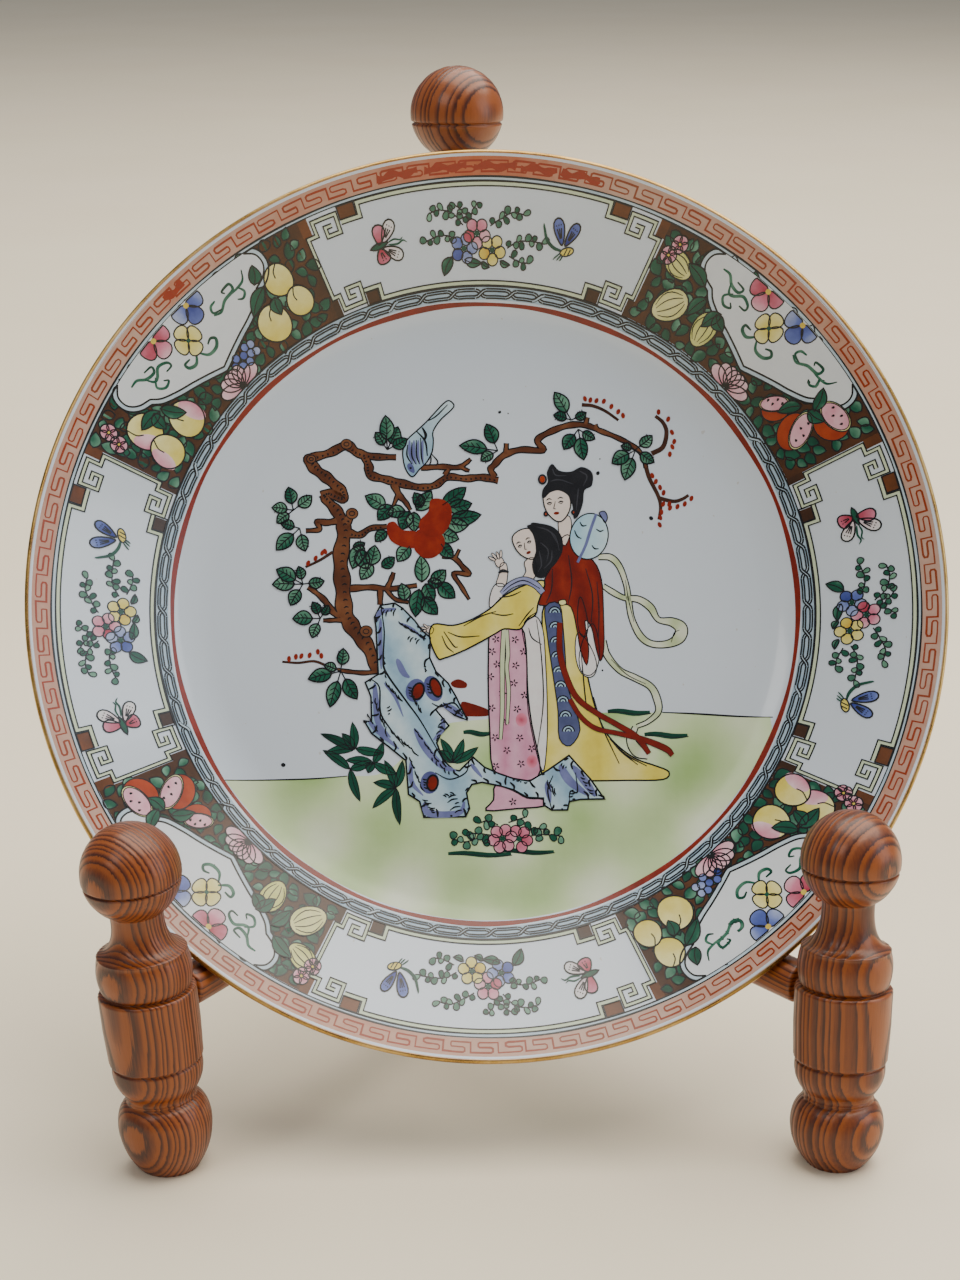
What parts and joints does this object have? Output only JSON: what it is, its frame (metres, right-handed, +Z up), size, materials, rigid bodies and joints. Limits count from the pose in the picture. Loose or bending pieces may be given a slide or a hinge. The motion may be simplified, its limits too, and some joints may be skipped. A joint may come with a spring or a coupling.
{
  "type": "souvenir plate on stand",
  "caption": "Round deep-bordered display plate resting on a three-legged turned wooden stand with ball finials.",
  "frame": {"origin": "middle of the bounding box in plan, on the plane the three feet stand on", "axes": "+Z up, -Y towards the viewer the plate faces, +X to the viewer's right"},
  "size_m": [0.26, 0.168, 0.282],
  "materials": {
    "porcelain": "gloss",
    "pine": "varnished"
  },
  "bodies": {
    "stand": {"front_post_left": "pine", "front_post_right": "pine", "rear_post": "pine", "stretcher_left": "pine", "stretcher_right": "pine"},
    "plate": {"plate": "porcelain"}
  },
  "joints": [
    {"name": "plate_lift", "type": "slide", "parent": "stand", "child": "plate", "axis": [0, -0.12, 0.9928], "range_m": [0, 0.27]}
  ]
}
